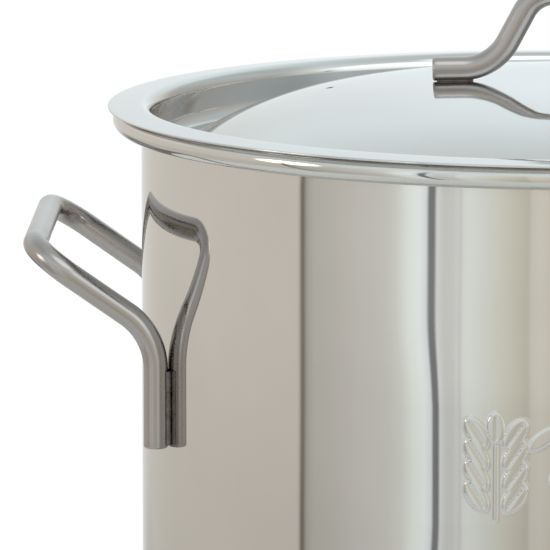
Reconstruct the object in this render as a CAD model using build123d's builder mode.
from build123d import *
import math
import os

# Stainless brew kettle: a deep-drawn pot with a rolled rim and a sandwich base, a lift-off lid with
# a recessed dome, handles of bent round rod, and a two-piece ball valve as the drain.
# Frame: +Z up, origin at the centre of the base where it stands, side handles along X, drain to -Y.

# Pot
WALL_R = 204.0  # outer radius of the straight wall
SHEET = 1.0  # sheet thickness of the pot and the lid
CORNER_R = 12.0  # bottom corner, outside
ROLL_R = 5.2  # rolled rim, outside radius of the curl
ROLL_CENTRE_R = 212.0  # distance of the curl's centre from the kettle's axis
ROLL_CENTRE_Z = 333.05
ROLL_TURN = 300.0  # degrees that the sheet curls round
FLARE_HEIGHT = 5.0  # height over which the wall moves out to the curl

# Sandwich base
CAP_SHEET = 0.8  # steel cup under the aluminium disc
CORE_R = 185.0
CORE_HEIGHT = 5.0
POT_FLOOR_Z = CAP_SHEET + CORE_HEIGHT  # underside of the pot's floor

# Lid
FLANGE_Z = 340.0  # top of the flange at its inner edge
FLANGE_R = 219.5
FLANGE_DROP = 0.86  # the outer edge is this much lower
RECESS_R = 199.0  # the recessed wall, on the side that shows
RECESS_CORNER_R = 6.0  # where the flange turns down into the recess
DOME_R = 186.0  # where the dome ends and the trough begins
DOME_TOP_Z = FLANGE_Z + 9.8
DOME_FALL = 31.2  # apex to the end of the dome; the fall grows with the fourth power of the radius
VENT_R = 1.8
VENT_AT = (-116.5, 10.5)

# Side handles: bent 7/16 in round rod, welded by its two upright stems
ROD_R = 5.56
WELD_GAP = 0.3  # weld metal between a rod and the sheet
STEM_HALF_SPACING = 77.5
STEM_BOTTOM_Z = 190.7
KNEE_Z = 243.2
GRIP_X = 250.3
GRIP_Z = 281.8
GRIP_HALF_LENGTH = 79.0
KNEE_BEND_R = 30.0
GRIP_BEND_R = 21.0
ROD_END_R = 1.0
STEM_WELD_LENGTH = 34.0

# Lid handle
LID_ROD_R = 5.5
FOOT_END_X = 69.0
FOOT_BEND_X = 40.6
LID_BAR_X = 22.0
LID_BAR_RISE = 35.0  # bar above the feet, centre to centre
FOOT_BEND_R = 24.0
LID_BAR_BEND_R = 16.0
FOOT_WELD_X = (50.0, 67.0)

# Drain: half-inch fittings on a level axis towards -Y
DRAIN_Z = 50.0
PIPE_R = 10.65
PIPE_BORE_R = 7.9
DRAIN_HOLE_R = 11.0
GASKET_R = 16.0
OUTER_GASKET_FACE = 206.5  # distances along the drain axis are measured from the kettle's axis
INNER_GASKET_FACE = 200.5
WASHER_THICKNESS = 1.5
LOCKNUT_THICKNESS = 7.0
LOCKNUT_FLATS = 30.0
COLLAR_THICKNESS = 5.0
COLLAR_FLATS = 30.0
PIPE_INNER_END = 190.5

# Ball valve; U distances run along the drain axis from the ball's centre, H distances upwards from it
BALL_AT = 240.0
BALL_R = 12.5
PORT_R = 7.5
SEAT_GAP = 0.3
CAVITY_R = 13.2
CAVITY_U = 12.2
SEAT_INNER_U = 5.0
INLET_U = -27.0
SOCKET_END_U = -14.5
BODY_R = 18.0
BODY_START_U = -15.0
BODY_END_U = 24.0
CAP_THREAD_R = 15.2
OUTLET_U = 44.0
OUTLET_R = 10.1
OUTLET_DEPTH = 14.0
VALVE_FLATS = 32.0

STEM_R = 4.5
STEM_FIT = 0.05
SHOULDER_R = 6.5
SHOULDER_H = (13.4, 15.8)
SHOULDER_POCKET_H = 16.2
SLOT_FLOOR_H = 8.5
TANG_HALF_WIDTH = 2.5
BOSS_R = 11.0
BOSS_H = 28.0
PACKING_R = 7.2
PACKING_H = (18.0, 23.0)
GLAND_FLATS = 19.0
GLAND_H = 32.0
LEVER_H = 35.0
LEVER_SHEET = 3.0
STEM_HALF_FLATS = 3.3
LEVER_NUT_H = 6.5
LEVER_NUT_FLATS = 13.0
STEM_TOP_H = 46.0

LEVER_HUB_R = 13.0
LEVER_HALF_WIDTH = 8.0
LEVER_STEP_X = (16.0, 30.0)
LEVER_STEP_RISE = 12.0
LEVER_LENGTH = 118.0
SLEEVE_START_X = 40.0
SLEEVE_WALL = 1.6

os.makedirs("parts", exist_ok=True)


def save(part, name):
    part.label = name
    export_step(part, f"parts/{name}.step")
    print(name, round(part.volume))


def dome_z(radius):
    return DOME_TOP_Z - DOME_FALL * (radius / DOME_R) ** 4


def drain_plane(distance):
    """Upright plane across the drain axis, centred on it and facing away from the kettle."""
    return Plane(origin=(0, -distance, DRAIN_Z), x_dir=(1, 0, 0), z_dir=(0, -1, 0))


def stem_plane(height):
    """Level plane round the valve stem, at a height above the drain axis."""
    return Plane(origin=(0, -BALL_AT, DRAIN_Z + height), x_dir=(1, 0, 0), z_dir=(0, 0, 1))


# ---------------------------------------------------------------- pot
flare_dx = ROLL_CENTRE_R - (ROLL_R - SHEET) - WALL_R
flare_turn = 2 * math.degrees(math.atan(flare_dx / FLARE_HEIGHT))
flare_r = FLARE_HEIGHT / (2 * math.sin(math.radians(flare_turn)))

with BuildPart() as kettle_shell:
    with BuildSketch(Plane.XZ):
        with BuildLine():
            pot_floor = Line((0, POT_FLOOR_Z), (WALL_R - CORNER_R, POT_FLOOR_Z))
            corner = JernArc(pot_floor @ 1, (1, 0), CORNER_R, 90)
            wall = Line(corner @ 1, (WALL_R, ROLL_CENTRE_Z - FLARE_HEIGHT))
            flare = JernArc(wall @ 1, (0, 1), flare_r, -flare_turn)
            flare_back = JernArc(flare @ 1, flare % 1, flare_r, flare_turn)
            JernArc(flare_back @ 1, (0, 1), ROLL_R - SHEET, -ROLL_TURN)
            offset(amount=SHEET, side=Side.LEFT)
        make_face()
    revolve(axis=Axis.Z)
    with BuildSketch(drain_plane(WALL_R - 20)):
        Circle(DRAIN_HOLE_R)
    extrude(amount=40, mode=Mode.SUBTRACT)
save(kettle_shell.part, "kettle_shell")

with BuildPart() as base_core:
    with BuildSketch(Plane.XY.offset(CAP_SHEET)):
        Circle(CORE_R)
    extrude(amount=CORE_HEIGHT)
save(base_core.part, "base_core")

with BuildPart() as base_cap:
    with BuildSketch(Plane.XY):
        Circle(CORE_R + CAP_SHEET)
    extrude(amount=POT_FLOOR_Z)
    fillet(base_cap.edges().group_by(Axis.Z)[0], CAP_SHEET * 0.75)
    with BuildSketch(Plane.XY.offset(CAP_SHEET)):
        Circle(CORE_R)
    extrude(amount=CORE_HEIGHT, mode=Mode.SUBTRACT)
save(base_cap.part, "base_cap")


# ---------------------------------------------------------------- side handles
def bent_rod(points, bends, radius):
    """Round rod along straight runs joined by arcs, with softened ends."""
    with BuildPart() as rod:
        with BuildLine() as path:
            FilletPolyline(*points, radius=bends)
        with BuildSketch(Plane(path.line @ 0, z_dir=path.line % 0)):
            Circle(radius)
        sweep()
        fillet(rod.faces().filter_by(GeomType.PLANE).edges(), ROD_END_R)
    return rod.part


stem_from_axis = WALL_R + WELD_GAP + ROD_R
stem_x = math.sqrt(stem_from_axis**2 - STEM_HALF_SPACING**2)


def side_handle(side):
    half = [
        (side * stem_x, STEM_HALF_SPACING, STEM_BOTTOM_Z),
        (side * stem_x, STEM_HALF_SPACING, KNEE_Z),
        (side * GRIP_X, GRIP_HALF_LENGTH, GRIP_Z),
    ]
    points = half + [(x, -y, z) for x, y, z in reversed(half)]
    return bent_rod(points, [KNEE_BEND_R, GRIP_BEND_R, GRIP_BEND_R, KNEE_BEND_R], ROD_R)


def stem_weld(side, end, rod):
    """Fillet weld that fills both corners between one upright stem and the wall."""
    at = (side * stem_x, end * STEM_HALF_SPACING, STEM_BOTTOM_Z + ROD_END_R + 0.5)
    outline = [(-7.0, -5.4), (-3.4, -4.6), (-3.4, 4.6), (-7.0, 5.4)]
    with BuildPart() as weld:
        with BuildSketch(Plane(origin=at, x_dir=(at[0], at[1], 0), z_dir=(0, 0, 1))):
            Polygon(*outline, align=None)
        extrude(amount=STEM_WELD_LENGTH)
        with BuildSketch(Plane.XY):
            Circle(WALL_R)
        extrude(amount=FLANGE_Z, mode=Mode.SUBTRACT)
        add(rod, mode=Mode.SUBTRACT)
    return weld.part


for side, side_name in ((-1, "left"), (1, "right")):
    handle = side_handle(side)
    save(handle, f"{side_name}_handle")
    for end, end_name in ((-1, "front"), (1, "rear")):
        save(stem_weld(side, end, handle), f"{side_name}_handle_weld_{end_name}")


# ---------------------------------------------------------------- lid
dome_slope = math.atan(4 * DOME_FALL / DOME_R)


def lid_line(drop, recess_r, corner_r):
    """One surface of the lid sheet, from the dome's centre to the flange's edge."""
    top = DOME_TOP_Z - drop
    heights = [top, top, top, top, top - DOME_FALL]
    dome = Bezier(*[(DOME_R * i / 4, height) for i, height in enumerate(heights)])
    trough_r = (recess_r - DOME_R) / (1 + math.sin(dome_slope))
    trough = JernArc(dome @ 1, dome % 1, trough_r, 90 + math.degrees(dome_slope))
    wall_top = (recess_r, FLANGE_Z - drop - corner_r)
    Line(trough @ 1, wall_top)
    turn = JernArc(wall_top, (0, 1), corner_r, -90)
    edge = (FLANGE_R, FLANGE_Z - drop - FLANGE_DROP)
    Line(turn @ 1, edge)
    return edge


with BuildPart() as lid_shell:
    with BuildSketch(Plane.YZ):
        with BuildLine():
            upper_edge = lid_line(0, RECESS_R, RECESS_CORNER_R)
            lower_edge = lid_line(SHEET, RECESS_R + SHEET, RECESS_CORNER_R - SHEET)
            Line(upper_edge, lower_edge)
            Line((0, DOME_TOP_Z), (0, DOME_TOP_Z - SHEET))
        make_face()
    revolve(axis=Axis.Z)
    with BuildSketch(Plane.XY.offset(DOME_TOP_Z)):
        with Locations(VENT_AT):
            Circle(VENT_R)
    extrude(amount=-30, mode=Mode.SUBTRACT)
save(lid_shell.part, "lid_shell")

foot_lift = WELD_GAP + LID_ROD_R
foot_end_z = dome_z(FOOT_END_X) + foot_lift
foot_bend_z = dome_z(FOOT_BEND_X) + foot_lift
lid_handle_half = [
    (-FOOT_END_X, 0, foot_end_z),
    (-FOOT_BEND_X, 0, foot_bend_z),
    (-LID_BAR_X, 0, foot_bend_z + LID_BAR_RISE),
]
lid_handle_points = lid_handle_half + [(-x, y, z) for x, y, z in reversed(lid_handle_half)]
lid_handle_bends = [FOOT_BEND_R, LID_BAR_BEND_R, LID_BAR_BEND_R, FOOT_BEND_R]
lid_handle = bent_rod(lid_handle_points, lid_handle_bends, LID_ROD_R)
save(lid_handle, "lid_handle")


def foot_weld(side):
    """Fillet weld along one foot of the lid handle."""
    weld_bottom = dome_z(FOOT_WELD_X[0]) - SHEET * 0.8
    weld_top = foot_end_z - 3.4
    outline = [(-4.8, weld_bottom), (4.8, weld_bottom), (4.1, weld_top), (-4.1, weld_top)]
    with BuildPart() as weld:
        with BuildSketch(Plane.YZ.offset(side * FOOT_WELD_X[0])):
            Polygon(*outline, align=None)
        extrude(amount=side * (FOOT_WELD_X[1] - FOOT_WELD_X[0]))
        add(lid_shell.part, mode=Mode.SUBTRACT)
        add(lid_handle, mode=Mode.SUBTRACT)
    return weld.part


save(foot_weld(-1), "lid_handle_weld_left")
save(foot_weld(1), "lid_handle_weld_right")


# ---------------------------------------------------------------- drain fittings in the wall
def ring(start, end, outer_r, inner_r):
    """Round ring on the drain axis between two distances."""
    with BuildPart() as piece:
        with BuildSketch(drain_plane(start)):
            Circle(outer_r)
            Circle(inner_r, mode=Mode.SUBTRACT)
        extrude(amount=end - start)
    return piece.part


def hexagon(flats):
    RegularPolygon(radius=flats / 2, side_count=6, major_radius=False)


# The soft gaskets follow the curved wall on one side and are flat on the other.
with BuildPart() as drain_gasket_outer:
    add(ring(WALL_R - 3, OUTER_GASKET_FACE, GASKET_R, PIPE_R))
    with BuildSketch(Plane.XY):
        Circle(WALL_R)
    extrude(amount=2 * DRAIN_Z, mode=Mode.SUBTRACT)
save(drain_gasket_outer.part, "drain_gasket_outer")

with BuildPart() as drain_gasket_inner:
    add(ring(INNER_GASKET_FACE, WALL_R + 3, GASKET_R, PIPE_R))
    with BuildSketch(Plane.XY):
        Circle(WALL_R - SHEET)
    extrude(amount=2 * DRAIN_Z, mode=Mode.INTERSECT)
save(drain_gasket_inner.part, "drain_gasket_inner")

washer_face = INNER_GASKET_FACE - WASHER_THICKNESS
save(ring(washer_face, INNER_GASKET_FACE, GASKET_R, PIPE_R), "drain_washer")

with BuildPart() as drain_locknut:
    with BuildSketch(drain_plane(washer_face - LOCKNUT_THICKNESS)):
        hexagon(LOCKNUT_FLATS)
    extrude(amount=LOCKNUT_THICKNESS)
    chamfer(drain_locknut.faces().sort_by(Axis.Y)[-1].edges(), 0.8)
    with BuildSketch(drain_plane(washer_face - LOCKNUT_THICKNESS)):
        Circle(PIPE_R)
    extrude(amount=LOCKNUT_THICKNESS, mode=Mode.SUBTRACT)
save(drain_locknut.part, "drain_locknut")

with BuildPart() as drain_nipple:
    with BuildSketch(drain_plane(PIPE_INNER_END)):
        Circle(PIPE_R)
    extrude(amount=BALL_AT + SOCKET_END_U - PIPE_INNER_END)
    chamfer(drain_nipple.edges().filter_by(GeomType.CIRCLE), 0.8)
    with BuildSketch(drain_plane(OUTER_GASKET_FACE)):
        hexagon(COLLAR_FLATS)
    extrude(amount=COLLAR_THICKNESS)
    with BuildSketch(drain_plane(PIPE_INNER_END)):
        Circle(PIPE_BORE_R)
    extrude(amount=BALL_AT, mode=Mode.SUBTRACT)
save(drain_nipple.part, "drain_nipple")

# ---------------------------------------------------------------- ball valve
with BuildPart() as valve_body:
    with BuildSketch(drain_plane(BALL_AT + INLET_U)):
        hexagon(VALVE_FLATS)
    extrude(amount=BODY_START_U - INLET_U)
    chamfer(valve_body.faces().sort_by(Axis.Y)[-1].edges(), 1.0)
    with BuildSketch(drain_plane(BALL_AT + BODY_START_U)):
        Circle(BODY_R)
    extrude(amount=BODY_END_U - BODY_START_U)
    with BuildSketch(stem_plane(0)):
        Circle(BOSS_R)
    extrude(amount=BOSS_H)
    boss_rim = valve_body.faces().sort_by(Axis.Z)[-1].edges()
    chamfer(boss_rim, 0.8)
    with BuildSketch(drain_plane(BALL_AT + INLET_U)):
        Circle(PIPE_R)
    extrude(amount=SOCKET_END_U - INLET_U, mode=Mode.SUBTRACT)
    with BuildSketch(drain_plane(BALL_AT + INLET_U)):
        Circle(PORT_R)
    extrude(amount=BODY_END_U - INLET_U, mode=Mode.SUBTRACT)
    with BuildSketch(drain_plane(BALL_AT - CAVITY_U)):
        Circle(CAVITY_R)
    extrude(amount=2 * CAVITY_U, mode=Mode.SUBTRACT)
    with BuildSketch(drain_plane(BALL_AT + CAVITY_U)):
        Circle(CAP_THREAD_R)
    extrude(amount=BODY_END_U - CAVITY_U, mode=Mode.SUBTRACT)
    with BuildSketch(stem_plane(0)):
        Circle(SHOULDER_R + 0.3)
    extrude(amount=SHOULDER_POCKET_H, mode=Mode.SUBTRACT)
    with BuildSketch(stem_plane(0)):
        Circle(STEM_R + STEM_FIT)
    extrude(amount=BOSS_H, mode=Mode.SUBTRACT)
    with BuildSketch(stem_plane(PACKING_H[0])):
        Circle(PACKING_R)
    extrude(amount=BOSS_H - PACKING_H[0], mode=Mode.SUBTRACT)
save(valve_body.part, "valve_body")

with BuildPart() as valve_end_cap:
    with BuildSketch(drain_plane(BALL_AT + CAVITY_U)):
        Circle(CAP_THREAD_R)
    extrude(amount=BODY_END_U - CAVITY_U)
    with BuildSketch(drain_plane(BALL_AT + BODY_END_U)):
        hexagon(VALVE_FLATS)
    extrude(amount=OUTLET_U - BODY_END_U)
    chamfer(valve_end_cap.faces().sort_by(Axis.Y)[0].edges(), 1.0)
    with BuildSketch(drain_plane(BALL_AT + CAVITY_U)):
        Circle(PORT_R)
    extrude(amount=OUTLET_U - CAVITY_U, mode=Mode.SUBTRACT)
    with BuildSketch(drain_plane(BALL_AT + OUTLET_U - OUTLET_DEPTH)):
        Circle(OUTLET_R)
    extrude(amount=OUTLET_DEPTH, mode=Mode.SUBTRACT)
save(valve_end_cap.part, "valve_end_cap")


def valve_seat(direction):
    """Plastic ring with a hollow face that the ball turns in."""
    with BuildPart() as seat:
        add(ring(BALL_AT + direction * SEAT_INNER_U, BALL_AT + direction * CAVITY_U, CAVITY_R, PORT_R))
        with Locations((0, -BALL_AT, DRAIN_Z)):
            Sphere(BALL_R + SEAT_GAP, mode=Mode.SUBTRACT)
    return seat.part


save(valve_seat(-1), "valve_seat_inlet")
save(valve_seat(1), "valve_seat_outlet")

with BuildPart() as stem_packing:
    with BuildSketch(stem_plane(PACKING_H[0])):
        Circle(PACKING_R)
        Circle(STEM_R + STEM_FIT, mode=Mode.SUBTRACT)
    extrude(amount=PACKING_H[1] - PACKING_H[0])
save(stem_packing.part, "stem_packing")

with BuildPart() as packing_nut:
    with BuildSketch(stem_plane(PACKING_H[1])):
        Circle(PACKING_R)
    extrude(amount=BOSS_H - PACKING_H[1])
    with BuildSketch(stem_plane(BOSS_H)):
        hexagon(GLAND_FLATS)
    extrude(amount=GLAND_H - BOSS_H)
    chamfer(packing_nut.faces().sort_by(Axis.Z)[-1].edges(), 0.6)
    with BuildSketch(stem_plane(PACKING_H[1])):
        Circle(STEM_R + STEM_FIT)
    extrude(amount=GLAND_H, mode=Mode.SUBTRACT)
save(packing_nut.part, "packing_nut")

# ---------------------------------------------------------------- ball, stem and lever, shown shut
with BuildPart() as valve_ball:
    with Locations((0, -BALL_AT, DRAIN_Z)):
        Sphere(BALL_R)
    with BuildSketch(Plane(origin=(-BALL_R, -BALL_AT, DRAIN_Z), z_dir=(1, 0, 0))):
        Circle(PORT_R)
    extrude(amount=2 * BALL_R, mode=Mode.SUBTRACT)
    with BuildSketch(stem_plane(SLOT_FLOOR_H)):
        Rectangle(2 * TANG_HALF_WIDTH, 2 * BALL_R)
    extrude(amount=BALL_R, mode=Mode.SUBTRACT)
save(valve_ball.part, "valve_ball")

with BuildPart() as valve_stem:
    with BuildSketch(stem_plane(SHOULDER_H[0])):
        Circle(SHOULDER_R)
    extrude(amount=SHOULDER_H[1] - SHOULDER_H[0])
    with BuildSketch(stem_plane(SHOULDER_H[0])):
        Circle(STEM_R)
    extrude(amount=LEVER_H - SHOULDER_H[0])
    with BuildSketch(stem_plane(LEVER_H)):
        Circle(STEM_R)
        Rectangle(2 * STEM_HALF_FLATS, 2 * STEM_R, mode=Mode.INTERSECT)
    extrude(amount=STEM_TOP_H - LEVER_H)
    with BuildSketch(stem_plane(SLOT_FLOOR_H)):
        Circle(STEM_R)
        Rectangle(2 * TANG_HALF_WIDTH, 2 * STEM_R, mode=Mode.INTERSECT)
    extrude(amount=SHOULDER_H[0] - SLOT_FLOOR_H)
save(valve_stem.part, "valve_stem")

step_low, step_high = LEVER_STEP_X
lever_tip_x = LEVER_LENGTH - LEVER_HALF_WIDTH
with BuildPart() as valve_lever:
    with BuildSketch(Plane.XZ.offset(BALL_AT - LEVER_HUB_R)):
        with BuildLine():
            FilletPolyline(
                (-LEVER_HUB_R, DRAIN_Z + LEVER_H),
                (step_low, DRAIN_Z + LEVER_H),
                (step_high, DRAIN_Z + LEVER_H + LEVER_STEP_RISE),
                (LEVER_LENGTH, DRAIN_Z + LEVER_H + LEVER_STEP_RISE),
                radius=5,
            )
            offset(amount=LEVER_SHEET, side=Side.LEFT)
        make_face()
    extrude(amount=2 * LEVER_HUB_R)
    with BuildSketch(stem_plane(0)):
        Circle(LEVER_HUB_R)
        with Locations((lever_tip_x / 2, 0)):
            Rectangle(lever_tip_x, 2 * LEVER_HALF_WIDTH)
        with Locations((lever_tip_x, 0)):
            Circle(LEVER_HALF_WIDTH)
        Circle(STEM_R, mode=Mode.SUBTRACT)
    extrude(amount=LEVER_H + LEVER_STEP_RISE + 2 * LEVER_SHEET, mode=Mode.INTERSECT)
save(valve_lever.part, "valve_lever")

with BuildPart() as lever_nut:
    with BuildSketch(stem_plane(LEVER_H + LEVER_SHEET)):
        hexagon(LEVER_NUT_FLATS)
    extrude(amount=LEVER_NUT_H)
    chamfer(lever_nut.faces().sort_by(Axis.Z)[-1].edges(), 0.6)
    add(valve_stem.part, mode=Mode.SUBTRACT)
save(lever_nut.part, "lever_nut")

sleeve_end_x = LEVER_LENGTH + SLEEVE_WALL
with BuildPart() as lever_sleeve:
    sleeve_base = LEVER_H + LEVER_STEP_RISE - SLEEVE_WALL
    with BuildSketch(stem_plane(sleeve_base)):
        with Locations(((SLEEVE_START_X + sleeve_end_x) / 2, 0)):
            RectangleRounded(
                sleeve_end_x - SLEEVE_START_X,
                2 * (LEVER_HALF_WIDTH + SLEEVE_WALL),
                radius=LEVER_HALF_WIDTH,
            )
    extrude(amount=LEVER_SHEET + 2 * SLEEVE_WALL)
    fillet(lever_sleeve.faces().filter_by(Axis.Z).edges(), 1.2)
    add(valve_lever.part, mode=Mode.SUBTRACT)
save(lever_sleeve.part, "lever_sleeve")
